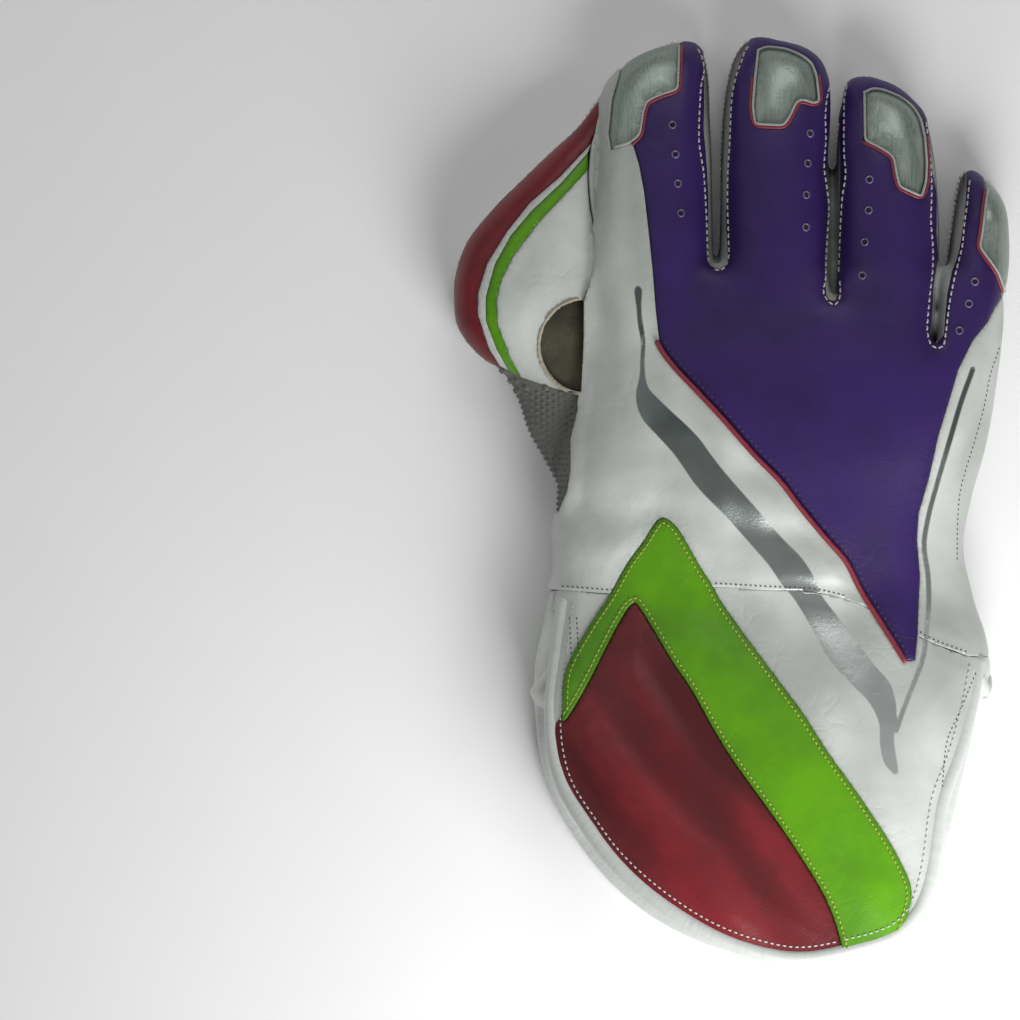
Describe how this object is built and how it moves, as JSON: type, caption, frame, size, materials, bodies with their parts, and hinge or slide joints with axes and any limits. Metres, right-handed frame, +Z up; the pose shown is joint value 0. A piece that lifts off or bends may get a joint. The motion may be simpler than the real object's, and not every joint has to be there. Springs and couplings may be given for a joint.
{
  "type": "wicketkeeping glove",
  "caption": "Padded right-hand catching glove with a flared cuff, a thumb web, separate finger stalls and a pimpled palm, lying palm down.",
  "frame": {"origin": "on the ground, under the middle of the glove's box", "axes": "+Y from the cuff to the fingertips, +X from the thumb to the little finger, +Z up out of the back of the hand"},
  "size_m": [0.2036, 0.3396, 0.0657],
  "materials": {
    "palm_rubber": "matt pimpled rubber",
    "purple_leather": "smooth, satin",
    "white_leather": "smooth, slightly glossy",
    "green_leather": "smooth, satin",
    "red_leather": "smooth, satin",
    "silver_leather": "foil-faced, brushed",
    "raw_leather": "raw, fibrous"
  },
  "bodies": {
    "root": {"palm_facing": "palm_rubber", "index_middle_fourchette": "raw_leather", "middle_ring_fourchette": "raw_leather", "ring_little_fourchette": "raw_leather", "index_cap": "silver_leather", "middle_cap": "silver_leather", "ring_cap": "silver_leather", "little_cap": "silver_leather", "seam_piping": "red_leather", "back_panel": "purple_leather", "cuff_back_binding": "white_leather", "cuff_palm_binding": "white_leather", "cuff_chevron": "green_leather", "cuff_inset": "red_leather", "cuff_back_thumb_side": "white_leather", "cuff_back_little_side": "white_leather", "thumb_edge_band": "red_leather", "thumb_edge_line": "white_leather", "thumb_stripe": "green_leather", "thumb_panel": "white_leather", "radial_panel": "white_leather", "ulnar_panel": "white_leather", "thumb_side_gusset": "white_leather", "little_side_gusset": "white_leather", "cuff_palm_band": "green_leather", "cuff_palm_inset": "red_leather", "cuff_palm": "white_leather"}
  },
  "joints": []
}
